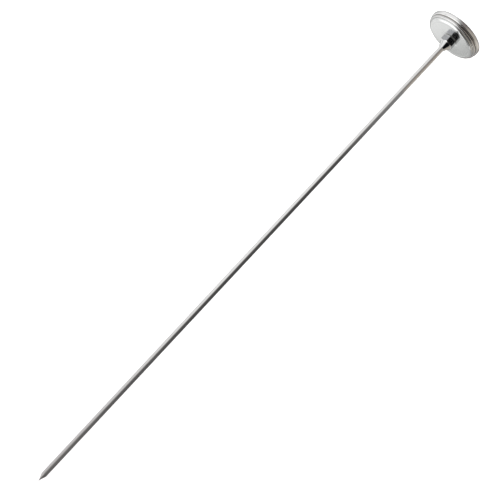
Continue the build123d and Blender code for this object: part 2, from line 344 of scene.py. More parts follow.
def polished_steel(name, low, high):
    """Bright rolled stainless: faint haze and hairline marks around the turning axis."""
    m = Nodes(name, low, metallic=1.0)
    haze = m.noise(m.place((1, 1, 1)), 180.0, detail=6.0)
    hairs = m.noise(m.rings(), 9000.0, detail=2.0)
    m.colour(haze, (0.74, 0.735, 0.73), (0.83, 0.825, 0.82))
    m.roughen(haze, low, high)
    m.bump(hairs, 0.0006 * MM, 0.4)
    return m.material


def rolled_steel(name, groove_y, worked_y):
    """Bright bead of the bezel, painted shade darkening the bottom of its groove, and a duller rolled lip
    past worked_y.
    """
    m = Nodes(name, 0.05, metallic=1.0)
    haze = m.noise(m.place((1, 1, 1)), 180.0, detail=6.0)
    hairs = m.noise(m.rings(), 9000.0, detail=2.0)
    patches = m.noise(m.place((1, 1, 1)), 260.0, detail=3.0)
    blur = 0.1 * MM
    worked = m.along_y(worked_y - blur, worked_y + blur)
    bare_tone = m.mix(worked, (0.82, 0.815, 0.81), (0.70, 0.695, 0.69))
    # The darker tone at the bottom of the groove, between bead and lip, is painted shade.
    groove_shade = m.mix(patches, (0.34, 0.32, 0.30), (0.52, 0.50, 0.48))
    entered = m.along_y(groove_y - NECK_W * 0.55, groove_y - NECK_W * 0.35)
    left = m.along_y(groove_y + NECK_W * 0.35, groove_y + NECK_W * 0.60)
    deep = m.span(m.radius(), 1.0, 0.0, NECK_R + NECK_W * 0.7, NECK_R + NECK_W * 1.1)
    # Where the painted groove shade applies: the groove's bottom, between its two sides.
    shade_mask = m.times(deep, m.less(entered, left))
    m.link(m.blend(shade_mask, bare_tone, groove_shade), m.shader.inputs["Base Color"])
    bright = m.span(haze, 0.04, 0.09)
    m.link(m.add(bright, m.span(worked, 0.0, 0.14, 0, 1)), m.shader.inputs["Roughness"])
    m.bump(hairs, 0.0008 * MM, 0.5)
    return m.material


def satin_steel(name):
    """Pressed stainless sheet with a soft spun finish."""
    m = Nodes(name, 0.2, metallic=1.0)
    rings = m.noise(m.rings(), 4200.0, detail=3.0)
    cloud = m.noise(m.place((1, 1, 1)), 60.0, detail=3.0)
    m.colour(cloud, (0.70, 0.705, 0.70), (0.79, 0.795, 0.79))
    rub_start = SEAT_R - 0.6 * MM
    rub_end = SEAT_R + 2.5 * MM
    rubbed = m.span(m.radius(), 0.12, 0.0, rub_start, rub_end)
    m.link(m.add(m.span(cloud, 0.16, 0.23), rubbed), m.shader.inputs["Roughness"])
    m.bump(rings, 0.003 * MM, 0.6)
    return m.material


def drawn_steel(name):
    """Stem: polished and faintly drawn along its length, duller by the hub and where it is dipped."""
    m = Nodes(name, 0.1, metallic=1.0)
    draw = m.noise(m.place((9000, 12, 9000)), 1.0, detail=3.0)
    scuff = m.noise(m.place((300, 90, 300)), 1.0, detail=5.0)
    depth = m.along_y(0.26, 0.47)
    bare_tone = m.mix(scuff, (0.71, 0.70, 0.695), (0.82, 0.81, 0.80))
    dull = m.mix(scuff, (0.53, 0.51, 0.505), (0.64, 0.62, 0.61))
    m.link(m.blend(depth, bare_tone, dull), m.shader.inputs["Base Color"])
    dipped = m.span(depth, 0.0, 0.30, 0, 1)
    handled = m.span(m.along_y(0.02, 0.13), 0.14, 0.0, 0, 1)
    m.link(m.add(m.span(scuff, 0.08, 0.16), m.add(dipped, handled)), m.shader.inputs["Roughness"])
    m.bump(draw, 0.0008 * MM, 0.4)
    return m.material


def dark_steel(name):
    """Drawn wire of the spindle."""
    m = Nodes(name, 0.35, metallic=1.0)
    streak = m.noise(m.place((6000, 60, 6000)), 1.0)
    m.colour(streak, (0.16, 0.15, 0.145), (0.34, 0.33, 0.32))
    m.roughen(streak, 0.28, 0.45)
    m.bump(streak, 0.002 * MM, 0.4)
    return m.material


def spring_steel(name):
    """Oiled, slightly blued spring stock."""
    m = Nodes(name, 0.3, metallic=1.0)
    cloud = m.noise(m.place((1, 1, 1)), 900.0)
    m.colour(cloud, (0.30, 0.30, 0.31), (0.45, 0.43, 0.40))
    m.roughen(cloud, 0.22, 0.4)
    m.bump(cloud, 0.002 * MM, 0.3)
    return m.material


def turned_brass(name):
    m = Nodes(name, 0.25, metallic=1.0)
    rings = m.noise(m.rings(), 8000.0)
    cloud = m.noise(m.place((1, 1, 1)), 500.0)
    m.colour(cloud, (0.66, 0.47, 0.20), (0.80, 0.61, 0.30))
    m.roughen(cloud, 0.18, 0.34)
    m.bump(rings, 0.004 * MM, 0.5)
    return m.material


def plated(name):
    """Bright nickel of the pointer's bushing."""
    m = Nodes(name, 0.15, metallic=1.0)
    rings = m.noise(m.rings(), 12000.0)
    m.colour(rings, (0.66, 0.65, 0.64), (0.82, 0.81, 0.80))
    m.roughen(rings, 0.12, 0.25)
    m.bump(rings, 0.003 * MM, 0.5)
    return m.material


def bimetal(name):
    """Rolled strip, its tone mottled between a yellowish and a paler, whitish shade."""
    m = Nodes(name, 0.3, metallic=1.0)
    cloud = m.noise(m.place((1, 1, 1)), 700.0)
    m.colour(cloud, (0.52, 0.47, 0.38), (0.68, 0.64, 0.56))
    m.roughen(cloud, 0.25, 0.4)
    m.bump(cloud, 0.003 * MM, 0.3)
    return m.material


def painted_dial(name):
    """Satin white enamel on the dial plate, very slightly mottled."""
    m = Nodes(name, 0.45)
    cloud = m.noise(m.place((1, 1, 1)), 220.0, detail=3.0)
    grain = m.noise(m.place((1, 1, 1)), 9000.0, detail=2.0)
    m.colour(cloud, (0.715, 0.705, 0.76), (0.745, 0.735, 0.785))
    m.roughen(grain, 0.40, 0.52)
    m.bump(grain, 0.002 * MM, 0.3)
    return m.material


def red_paint(name):
    """Glossy red enamel of the pointer."""
    m = Nodes(name, 0.3)
    cloud = m.noise(m.place((1, 1, 1)), 600.0, detail=3.0)
    grain = m.noise(m.place((1, 1, 1)), 5000.0)
    m.colour(cloud, (0.34, 0.008, 0.010), (0.42, 0.014, 0.018))
    m.roughen(cloud, 0.24, 0.36)
    m.bump(grain, 0.004 * MM, 0.3)
    m.set("Specular IOR Level", 0.25)
    m.set("Coat Weight", 0.1)
    m.set("Coat Roughness", 0.12)
    return m.material


def ink(name):
    """Printed marks: flat dark grey with slightly uneven cover."""
    m = Nodes(name, 0.6)
    cloud = m.noise(m.place((1, 1, 1)), 2500.0)
    m.colour(cloud, (0.020, 0.020, 0.023), (0.045, 0.044, 0.050))
    m.roughen(cloud, 0.5, 0.7)
    return m.material


def soft_plastic(name, one, two, roughness=0.5):
    """Moulded plastic or rubber between two near shades."""
    m = Nodes(name, roughness)
    cloud = m.noise(m.place((1, 1, 1)), 900.0)
    m.colour(cloud, one, two)
    m.roughen(cloud, roughness - 0.06, roughness + 0.08)
    m.bump(cloud, 0.004 * MM, 0.3)
    return m.material


def window_glass(name):
    """Flat window: it shows what is behind it and mirrors a little, more at low angles."""
    m = Nodes(name, 0.02)
    m.tree.nodes.remove(m.shader)
    clear = m.node("ShaderNodeBsdfTransparent")
    mirror = m.node("ShaderNodeBsdfGlossy")
    facing = m.node("ShaderNodeLayerWeight")
    steep = m.node("ShaderNodeMath", operation="POWER")
    blend = m.node("ShaderNodeMixShader")
    smear = m.noise(m.place((1, 1, 1)), 160.0, detail=4.0)
    clear.inputs["Color"].default_value = (0.975, 0.98, 0.98, 1)
    mirror.inputs["Color"].default_value = (1, 1, 1, 1)
    facing.inputs["Blend"].default_value = 0.5
    steep.inputs[1].default_value = 5.0
    m.link(facing.outputs["Facing"], steep.inputs[0])
    m.link(m.span(smear, 0.015, 0.05), mirror.inputs["Roughness"])
    m.link(m.span(steep.outputs[0], 0.02, 0.9, 0, 1), blend.inputs[0])
    m.link(clear.outputs[0], blend.inputs[1])
    m.link(mirror.outputs[0], blend.inputs[2])
    m.link(blend.outputs[0], m.tree.nodes["Material Output"].inputs["Surface"])
    return m.material


LIP_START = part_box("bezel")[1].y - LIP_REAR_R - LIP_FRONT_R
STEEL = rolled_steel("polished_steel", LIP_START - NECK_W / 2, LIP_START)
HUB_STEEL = polished_steel("hub_steel", 0.05, 0.10)
PAN_STEEL = satin_steel("satin_steel")
STEM_STEEL = drawn_steel("stem_steel")
WIRE = dark_steel("spindle_steel")
SPRING = spring_steel("spring_steel")
BRASS = turned_brass("turned_brass")
NICKEL = plated("nickel_plate")
BIMETAL = bimetal("bimetal_strip")
ENAMEL = painted_dial("dial_enamel")
RED = red_paint("pointer_red")
INK = ink("scale_ink")
GASKET = soft_plastic("gasket_rubber", (0.50, 0.49, 0.51), (0.58, 0.57, 0.59))
SPACER = soft_plastic("spacer_plastic", (0.52, 0.52, 0.54), (0.60, 0.60, 0.62), 0.45)
WASHER = soft_plastic("washer_fibre", (0.36, 0.37, 0.36), (0.46, 0.47, 0.45), 0.6)
BUSH = soft_plastic("bush_plastic", (0.80, 0.80, 0.78), (0.88, 0.88, 0.86), 0.4)
GLASS = window_glass("window_glass")


# ---------------------------------------------------------------- case
def circle_through(start, end, heading):
    """Arc points from start to end that leave start along a heading, all as (radius, y)."""
    start, end, heading = Vector(start), Vector(end), Vector(heading).normalized()
    chord = end - start
    side = Vector((-heading.y, heading.x))
    radius = chord.length_squared / (2 * chord.dot(side))
    centre = start + side * radius
    first = math.atan2(start.y - centre.y, start.x - centre.x)
    last = math.atan2(end.y - centre.y, end.x - centre.x)
    sweep = (last - first + math.pi) % TURN - math.pi
    steps = max(6, int(abs(sweep) / math.radians(4)))
    return arc(centre, abs(radius), math.degrees(first), math.degrees(first + sweep), steps)


def make_bezel():
    """Polished ring: flat edge round the window, front bead, groove and rolled rear lip."""
    low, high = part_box("bezel")
    outer = high.x
    crest = low.y
    lip_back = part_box("lens_gasket")[0].y
    window_y = lip_back - WINDOW_LIP_T
    band_front = crest + BEAD_R
    band_rear = band_front + BEAD_BAND
    bead_rear = band_rear + BEAD_REAR_R
    neck_front = bead_rear + NECK_W
    lip_y = neck_front + LIP_FRONT_R
    neck_edge = NECK_R + NECK_W / 2
    flange_low, flange_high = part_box("case_pan")
    flange_rear = flange_low.y + SHEET_T
    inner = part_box("lens")[1].x + RUNNING
    soft = 0.1 * MM
    outline = [(WINDOW_R, lip_back), (WINDOW_R, window_y + soft)]
    outline += arc((WINDOW_R + soft, window_y + soft), soft, 180, 270, 5)[1:]
    slope = circle_through((CREST_R, crest), (WINDOW_R + WINDOW_LIP_W, window_y), (-1, 0))
    outline += slope[::-1]
    outline += arc((CREST_R, band_front), BEAD_R, -90, 0, 30)[1:]
    outline += arc((outer - BEAD_REAR_R, band_rear), BEAD_REAR_R, 0, 90, 12)
    outline += arc((neck_edge, bead_rear + NECK_W / 2), NECK_W / 2, -90, -270, 12)
    outline += arc((LIP_MAX_R - LIP_FRONT_R, lip_y), LIP_FRONT_R, -90, 0, 12)
    outline += arc((LIP_MAX_R - LIP_REAR_R, lip_y), LIP_REAR_R, 0, 90, 18)[1:]
    outline += arc((PAN_R + RUNNING + soft, high.y - soft), soft, 90, 180, 5)
    outline += [
        (PAN_R + RUNNING, flange_rear),
        (flange_high.x, flange_rear),
        (flange_high.x, flange_low.y),
        (inner, flange_low.y),
        (inner, bead_rear - SHEET_T),
        (outer - SHEET_T, bead_rear - SHEET_T),
    ]
    outline += circle_through((outer - SHEET_T, band_front), (CREST_R, crest + SHEET_T), (0, -1))
    outline += [(inner, lip_back - SHEET_T), (inner, lip_back)]
    ring = turned("bezel_ring", outline, "case", STEEL, segments=256)
    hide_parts("bezel")


def make_pan():
    """Pressed back of the case: shallow seat for the hub, fine ring round the flat, rounded edge."""
    low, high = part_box("case_pan")
    turn = math.radians(SHOULDER_TURN)
    flat = PAN_R - SHOULDER_R * math.sin(turn) - SHEET_T * (1 - math.sin(turn))
    slope = (PAN_R - SHEET_T * (1 - math.sin(turn)), high.y - SHOULDER_R * (1 - math.cos(turn)))
    corner = (PAN_R - SHEET_T, slope[1] - SHEET_T * math.cos(turn))
    seat = high.y - SEAT_DEPTH
    outline = [(PAN_HOLE_R, seat)]
    dish_end = SEAT_R + SEAT_DEPTH
    steps = 60
    for i in range(steps + 1):
        r = DISH_START_R + (flat - DISH_START_R) * i / steps
        rise = min((r - DISH_START_R) / (dish_end - DISH_START_R), 1)
        ring = max(0.0, 1 - abs(r - flat + GROOVE_BACK) / GROOVE_HALF)
        y = seat + SEAT_DEPTH * (1 - math.cos(math.pi * rise)) / 2
        outline.append((r, y - GROOVE_DEPTH * (1 - math.cos(math.pi * ring)) / 2))
    outline.pop()
    outline.append((flat, high.y))
    outline += arc((flat, high.y - SHOULDER_R), SHOULDER_R, 90, 90 - SHOULDER_TURN, 16)[1:]
    outline += arc(corner, SHEET_T, 90 - SHOULDER_TURN, 0, 8)[1:]
    outline += [
        (PAN_R, low.y + SHEET_T),
        (high.x, low.y + SHEET_T),
        (high.x, low.y),
        (PAN_R - SHEET_T, low.y),
        corner,
    ]
    outline += circle_through(corner, (flat, high.y - SHEET_T), (0, 1))[1:]
    outline += [
        (SEAT_R + SHEET_T, high.y - SHEET_T),
        (SEAT_R + SHEET_T, seat - SHEET_T),
        (PAN_HOLE_R, seat - SHEET_T),
    ]
    pan = turned("pan_shell", outline, "case", PAN_STEEL, segments=256)
    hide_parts("case_pan")


def make_lens():
    """Window with ground edges."""
    low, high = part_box("lens")
    outline = [
        (0, low.y),
        (high.x - LENS_EDGE, low.y),
        (high.x, low.y + LENS_EDGE),
        (high.x, high.y - LENS_EDGE),
        (high.x - LENS_EDGE, high.y),
        (0, high.y),
    ]
    window = turned("window", outline, "case", GLASS, segments=128, closed=False)
    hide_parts("lens")


def make_gasket():
    """Thin pale ring between the window and the bezel's lip."""
    low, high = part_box("lens_gasket")
    inner = WINDOW_R + GASKET_LAP
    soft = 0.08 * MM
    outline = rounded(
        [
            (inner, low.y, soft),
            (high.x, low.y, soft),
            (high.x, high.y, soft),
            (inner, high.y, soft),
        ]
    )
    ring = turned("window_gasket", outline, "case", GASKET, segments=192)
    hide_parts("lens_gasket")


def make_dial():
    """Dial plate with a softly rolled edge and a small centre hole."""
    low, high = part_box("dial_plate")
    soft = 0.08 * MM
    outline = rounded(
        [
            (DIAL_HOLE_R, low.y, soft),
            (high.x, low.y, soft),
            (high.x, high.y, soft),
            (DIAL_HOLE_R, high.y, soft),
        ]
    )
    plate = turned("dial_face", outline, "case", ENAMEL, segments=192)
    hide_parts("dial_plate")


# ---------------------------------------------------------------- printed scale
def scale_way(celsius):
    """Unit vector from the dial's centre towards a temperature."""
    a = math.radians(SCALE_START + DEG_PER_C * celsius)
    return Vector((-math.sin(a), -math.cos(a)))


def add_slab(bm, outline, back):
    """A thin raised shape on the dial face, from an outline of (x, z) points."""
    rear = [bm.verts.new((x, back, z)) for x, z in outline]
    front = [bm.verts.new((x, back - INK_T, z)) for x, z in outline]
    bm.faces.new(rear)
    bm.faces.new(front[::-1])
    for i in range(len(outline)):
        n = (i + 1) % len(outline)
        bm.faces.new((rear[i], rear[n], front[n], front[i]))


def add_tick(bm, celsius, inner, outer, width, back):
    way = scale_way(celsius)
    side = Vector((-way.y, way.x)) * (width / 2)
    ends = [way * inner - side, way * outer - side, way * outer + side, way * inner + side]
    add_slab(bm, [tuple(p) for p in ends], back)


def bow(cx, cy, rx, ry, start, end, steps=20):
    """Points on an ellipse's arc, in glyph units, angles in degrees counted from +x."""
    points = []
    for i in range(steps + 1):
        a = math.radians(start + (end - start) * i / steps)
        points.append((cx + rx * math.cos(a), cy + ry * math.sin(a)))
    return points


def glyph(sign):
    """Centre lines of a plain sans-serif sign, as strokes in units of its height, and its width."""
    if sign == "0":
        return [bow(0.27, 0.5, 0.21, 0.435, 90, 450, 32)], 0.54
    if sign == "1":
        return [[(0.10, 0.72), (0.22, 0.78), (0.31, 0.93), (0.31, 0.0)]], 0.54
    if sign == "2":
        top = bow(0.27, 0.69, 0.20, 0.245, 172, -38, 18)
        return [top + [(0.12, 0.19), (0.065, 0.065), (0.49, 0.065)]], 0.54
    if sign == "3":
        upper = bow(0.26, 0.705, 0.175, 0.23, 165, -90, 18)
        lower = bow(0.26, 0.27, 0.205, 0.205, 90, -165, 18)
        return [upper + lower], 0.54
    if sign == "4":
        return [[(0.37, 0.0), (0.37, 0.90), (0.05, 0.27), (0.50, 0.27)]], 0.54
    if sign == "5":
        bowl = bow(0.26, 0.31, 0.205, 0.245, 128, -160, 20)
        return [[(0.46, 0.93), (0.14, 0.93), (0.09, 0.47)] + bowl], 0.54
    if sign == "6":
        ring = bow(0.275, 0.29, 0.205, 0.225, 180, -180, 26)
        back = bow(0.30, 0.50, 0.23, 0.435, 40, 205, 16)
        return [back, ring], 0.54
    if sign == "7":
        return [[(0.06, 0.93), (0.47, 0.93), (0.29, 0.55), (0.20, 0.0)]], 0.54
    if sign == "8":
        upper = bow(0.27, 0.71, 0.175, 0.225, -90, 270, 26)
        lower = bow(0.27, 0.275, 0.205, 0.21, 90, 450, 26)
        return [upper, lower], 0.54
    if sign == "9":
        ring = bow(0.265, 0.71, 0.205, 0.225, 0, 360, 26)
        back = bow(0.24, 0.50, 0.23, 0.435, -140, 25, 16)
        return [ring, back], 0.54
    if sign == "C":
        return [bow(0.38, 0.5, 0.30, 0.435, 42, 318, 30)], 0.72
    return [bow(0.09, 0.88, 0.075, 0.075, 90, 450, 20)], 0.14


def add_stroke(bm, line, origin, height, width, back):
    """A stroke of even width along a line of glyph points."""
    points = [Vector(p) * height + origin for p in line]
    loop = (points[0] - points[-1]).length < 0.02 * height
    if loop:
        points = points[:-1]
    count = len(points)
    left, right = [], []
    for i, here in enumerate(points):
        before = points[i - 1] if loop or i else None
        after = points[(i + 1) % count] if loop or i < count - 1 else None
        first = (here - before).normalized() if before is not None else None
        second = (after - here).normalized() if after is not None else None
        first = first or second
        second = second or first
        side_a = Vector((-first.y, first.x))
        side_b = Vector((-second.y, second.x))
        side = (side_a + side_b).normalized()
        reach = min(1 / max(side.dot(side_a), 0.2), 2.2) * width / 2
        left.append(here + side * reach)
        right.append(here - side * reach)
    pairs = range(count if loop else count - 1)
    rows = []
    for a, b in zip(left, right):
        rows.append([bm.verts.new((p.x, y, p.y)) for y in (back, back - INK_T) for p in (a, b)])
    for i in pairs:
        n = (i + 1) % count
        a, b = rows[i], rows[n]
        bm.faces.new((a[0], b[0], b[1], a[1]))
        bm.faces.new((a[2], a[3], b[3], b[2]))
        bm.faces.new((a[0], a[2], b[2], b[0]))
        bm.faces.new((a[1], b[1], b[3], a[3]))
    if not loop:
        for a in (rows[0], rows[-1]):
            bm.faces.new((a[0], a[1], a[3], a[2]))


def add_text(bm, text, centre, height, width, back, gap=0.08):
    """A line of signs centred on a point of the dial."""
    glyphs = [glyph(sign) for sign in text]
    total = sum(w for strokes, w in glyphs) + gap * (len(glyphs) - 1)
    x = -total / 2
    for strokes, w in glyphs:
        origin = centre + Vector((x, -0.5)) * height
        for line in strokes:
            add_stroke(bm, line, origin, height, width, back)
        x += w + gap


def make_print():
    """The scale: a mark for each degree, a number every ten, and the unit sign."""
    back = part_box("dial_plate")[0].y
    bm = bmesh.new()
    for celsius in range(SCALE_MAX + 1):
        if celsius % 10 == 0:
            add_tick(bm, celsius, TICK_IN, TICK_LONG, TICK_TEN_W, back)
        elif celsius % 5 == 0:
            add_tick(bm, celsius, TICK_IN, TICK_MID, TICK_FIVE_W, back)
        else:
            add_tick(bm, celsius, TICK_IN, TICK_SHORT, TICK_W, back)
    marks = add_piece("scale_marks", bm, "case", INK)
    bm = bmesh.new()
    for celsius in range(0, SCALE_MAX + 1, 10):
        way = scale_way(celsius)
        inset = LONG_NUMBER_IN * abs(way.x) if celsius >= 100 else 0
        add_text(bm, str(celsius), way * (NUMBER_R - inset), NUMBER_H, STROKE_W, back)
    add_text(bm, "dC", Vector((0, -UNIT_DROP)), UNIT_H, STROKE_W, back, gap=-0.02)
    numbers = add_piece("scale_numbers", bm, "case", INK)


# ---------------------------------------------------------------- pointer
def pointer_outline():
    """Outline of the arm and tail with the arm along +x."""
    tail_r = TAIL_END_W / 2
    points = bow(-TAIL_L + tail_r, 0, tail_r, tail_r, 90, 270, 16)
    root = math.asin(ARM_ROOT_W / 2 / BOSS_R)
    hub = BOSS_R * math.cos(root)
    points.append((-hub, -ARM_ROOT_W / 2))
    points += bow(0, 0, BOSS_R, BOSS_R, 180 + math.degrees(root), 360 - math.degrees(root), 20)[1:-1]
    points.append((hub, -ARM_ROOT_W / 2))
    points += bow(ARM_L - ARM_END_W / 2, 0, ARM_END_W / 2, ARM_END_W / 2, -90, 90, 8)
    points.append((hub, ARM_ROOT_W / 2))
    points += bow(0, 0, BOSS_R, BOSS_R, math.degrees(root), 180 - math.degrees(root), 20)[1:-1]
    points.append((-hub, ARM_ROOT_W / 2))
    return points


def make_pointer():
    """Stamped and enamelled hand, softly rounded at its edges."""
    low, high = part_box("pointer")
    way = scale_way(READING)
    side = Vector((-way.y, way.x))
    bm = bmesh.new()
    verts = []
    for x, z in pointer_outline():
        flat = way * x + side * z
        verts.append(bm.verts.new((flat.x, high.y, flat.y)))
    face = bm.faces.new(verts)
    made = bmesh.ops.extrude_face_region(bm, geom=[face])
    for v in made["geom"]:
        if isinstance(v, bmesh.types.BMVert):
            v.co.y = low.y
    rims = [e for e in bm.edges if abs(e.verts[0].co.y - e.verts[1].co.y) < 1e-9]
    bmesh.ops.bevel(bm, geom=rims, offset=0.07 * MM, segments=3, affect="EDGES", profile=0.5)
    hand = add_piece("pointer_hand", bm, "movement", RED)
    weigh_normals(hand)
    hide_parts("pointer")


def make_pointer_hub():
    """Raised red hub and its plated bushing."""
    low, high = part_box("pointer_boss")
    soft = 0.22 * MM
    outline = rounded(
        [
            (BUSHING_R, high.y, 0),
            (BUSHING_R, low.y, 0.05 * MM),
            (BOSS_R, low.y, soft),
            (BOSS_R, high.y, 0),
        ],
        steps=6,
    )
    boss = turned("pointer_hub", outline, "movement", RED, segments=96)
    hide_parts("pointer_boss")
    low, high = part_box("pointer_bushing")
    soft = 0.12 * MM
    outline = rounded(
        [
            (SPINDLE_R, high.y, 0),
            (SPINDLE_R, low.y, 0.06 * MM),
            (BUSHING_R, low.y, soft),
            (BUSHING_R, high.y, 0),
        ],
        steps=6,
    )
    bushing = turned("hub_bushing", outline, "movement", NICKEL, segments=96)
    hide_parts("pointer_bushing")


# ---------------------------------------------------------------- hub and stem
def make_hub():
    """Hexagon with turned-off corners and a tapered nose."""
    low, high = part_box("hex_hub")
    hex_top = high.y - NOSE_L
    hex_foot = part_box("seat_washer")[1].y
    corner = HEX_AF / math.sqrt(3)
    segments = 192

    def reach(a, limit):
        """Distance from the axis to the hexagon's side in a direction, or to the turning that cuts it."""
        step = (a - HEX_TURN) % (TURN / 6) - TURN / 12
        return min(HEX_AF / 2 / math.cos(step), limit)

    rows = []
    steps = 6
    fade = (corner - HEX_FACE_R) / steps
    for i in range(steps + 1):
        rows.append((hex_top - HEX_BEVEL * i / steps, HEX_FACE_R + fade * i))
    for i in range(steps, -1, -1):
        rows.append((hex_foot + HEX_BEVEL * i / steps, HEX_FACE_R + fade * i))
    bm = bmesh.new()

    def ring(y, distance):
        made = []
        for k in range(segments):
            a = TURN * k / segments + HEX_TURN
            r = distance(a)
            made.append(bm.verts.new((r * math.cos(a), y, r * math.sin(a))))
        return made

    loops = [ring(0.0, lambda a: STEM_R)]
    land = 0.05 * MM
    loops.append(ring(0.0, lambda a: STEM_R + land))
    loops.append(ring(-0.06 * MM, lambda a: STEM_R + 0.2 * MM))
    waist = 10
    for i in range(waist + 1):
        t = i / waist
        y = -NOSE_END + (hex_top + NOSE_END) * t
        r = STEM_R + NOSE_END_WALL + (NOSE_R - STEM_R - NOSE_END_WALL) * t
        loops.append(ring(y, lambda a, r=r: r))
    for y, limit in rows:
        loops.append(ring(y, lambda a, limit=limit: reach(a, limit)))
    loops.append(ring(hex_foot, lambda a: HUB_NECK_R))
    loops.append(ring(low.y, lambda a: HUB_NECK_R))
    loops.append(ring(low.y, lambda a: SOCKET_R))
    loops.append(ring(0.0, lambda a: SOCKET_R))
    for one, two in zip(loops, loops[1:] + loops[:1]):
        for k in range(segments):
            n = (k + 1) % segments
            bm.faces.new((one[k], one[n], two[n], two[k]))
    hub = add_piece("hub_hexagon", bm, "stem", HUB_STEEL)
    weigh_normals(hub)
    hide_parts("hex_hub")


def make_stem():
    """Smooth tube, and the solid point with a needle end."""
    low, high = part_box("stem_tube")
    bore = STEM_R - STEM_WALL
    rings = 60
    outline = [(bore, low.y), (SOCKET_R, low.y), (SOCKET_R, 0)]
    for i in range(rings + 1):
        outline.append((STEM_R, high.y * i / rings))
    outline.append((bore, high.y))
    tube = turned("stem_barrel", outline, "stem", STEM_STEEL, segments=96)
    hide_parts("stem_tube")

    foot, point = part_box("stem_tip")
    shoulder = high.y
    taper_y = point.y - TAPER_L
    seam = 0.04 * MM
    outline = [(0, foot.y), (bore, foot.y), (bore, shoulder), (STEM_R - seam, shoulder)]
    outline.append((STEM_R, shoulder + seam))
    taper = 12
    for i in range(1, taper + 1):
        t = i / taper
        outline.append((STEM_R + (TAPER_R - STEM_R) * t, shoulder + (taper_y - shoulder) * t))
    outline.append((POINT_R, point.y - POINT_R))
    outline += arc((0, point.y - POINT_R), POINT_R, 0, 90, 6)[1:]
    tip = turned("stem_point", outline, "stem", STEM_STEEL, segments=96, closed=False)
    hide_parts("stem_tip")


def dress_nodes():
    """Materials for the CAD nodes that are shown as they are."""
    finishes = {
        "spacer_ring": SPACER,
        "spindle": WIRE,
        "thrust_collar": BRASS,
        "coil_clamp": BRASS,
        "seat_washer": WASHER,
        "disc_spring": SPRING,
        "retaining_ring": SPRING,
        "upper_bearing": BRASS,
        "guide_bush_1": BUSH,
        "guide_bush_2": BUSH,
        "guide_bush_3": BUSH,
        "bimetal_coil": BIMETAL,
        "coil_anchor": BRASS,
    }
    for name, material in finishes.items():
        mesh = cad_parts[name].data
        mesh.materials.clear()
        mesh.materials.append(material)


# ---------------------------------------------------------------- stage, light and camera
BRIGHT = (1.5, 1.5, 1.5)
WHITE = (1.0, 1.0, 1.0)
PALE = (0.66, 0.67, 0.67)
PEARL = (0.56, 0.565, 0.56)
GREY = (0.40, 0.41, 0.41)
HAZE = (0.52, 0.53, 0.56)
MID = (0.28, 0.28, 0.28)
BEIGE = (0.42, 0.385, 0.34)
SAND = (0.66, 0.62, 0.56)
UMBER = (0.25, 0.225, 0.215)
BROWN = (0.17, 0.145, 0.135)
DARK = (0.035, 0.03, 0.028)
BLACK = (0.003, 0.003, 0.004)

# What the steel mirrors: rings of tones about the stem's axis, from the dial's side to the point's side.
# Each stop is (degrees from +X towards +Z, tone).
FRONT_WALL = [
    (-180, DARK),
    (-168, BROWN),
    (-115, MID),
    (-100, WHITE),
    (48, WHITE),
    (56, DARK),
    (179.9, DARK),
]
LOW_WALL = [
    (-180, BEIGE),
    (-150, UMBER),
    (-100, GREY),
    (-80, GREY),
    (-40, PALE),
    (60, PALE),
    (86, GREY),
    (100, BROWN),
    (150, BROWN),
    (179.9, BEIGE),
]
NEAR_WALL = [
    (-180, BEIGE),
    (-150, SAND),
    (-125, SAND),
    (-104, UMBER),
    (-74, UMBER),
    (-64, GREY),
    (-45, GREY),
    (-20, PALE),
    (10, WHITE),
    (74, WHITE),
    (95, GREY),
    (108, UMBER),
    (122, UMBER),
    (140, BEIGE),
    (179.9, BEIGE),
]
FAR_WALL = [
    (-180, BLACK),
    (-178, BLACK),
    (-166, BEIGE),
    (-130, BEIGE),
    (-100, GREY),
    (-84, PEARL),
    (-40, PEARL),
    (-25, WHITE),
    (16, WHITE),
    (20, HAZE),
    (30, HAZE),
    (34, WHITE),
    (86, WHITE),
    (104, BLACK),
    (179.9, BLACK),
]
END_WALL = [
    (-180, BLACK),
    (-125, BLACK),
    (-105, BRIGHT),
    (78, BRIGHT),
    (96, BLACK),
    (179.9, BLACK),
]
# (direction's y where the ring starts, y where it has taken over, its stops)
WALLS = (
    (-1.0, -1.0, FRONT_WALL),
    (-0.92, -0.82, LOW_WALL),
    (-0.55, -0.45, NEAR_WALL),
    (0.05, 0.20, FAR_WALL),
    (0.62, 0.74, END_WALL),
)


def make_floor():
    """Plain white table, well below the object."""
    m = Nodes("table", 0.9)
    cloud = m.noise(m.place((1, 1, 1)), 3.0)
    m.colour(cloud, (0.90, 0.90, 0.90), (0.92, 0.92, 0.92))
    m.set("Emission Color", (1, 1, 1, 1))
    m.set("Emission Strength", 0.6)
    m.set("Specular IOR Level", 0.0)
    size = 30.0
    drop = 0.35
    mesh = bpy.data.meshes.new("table")
    corners = [(-size, -size, -drop), (size, -size, -drop), (size, size, -drop), (-size, size, -drop)]
    mesh.from_pydata(corners, [], [(0, 1, 2, 3)])
    mesh.materials.append(m.material)
    table = bpy.data.objects.new("table", mesh)
    bpy.context.scene.collection.objects.link(table)
    table.visible_glossy = False


def wall_ramp(tree, turn, stops):
    """Colours around the Y axis, from a ring's stops."""
    ramp = tree.nodes.new("ShaderNodeValToRGB")
    band = ramp.color_ramp
    while len(band.elements) < len(stops):
        band.elements.new(0.5)
    for element, (degrees, colour) in zip(band.elements, stops):
        element.position = (degrees + 180) / 360
        element.color = (*colour, 1)
    tree.links.new(turn, ramp.inputs["Fac"])
    return ramp.outputs["Color"]


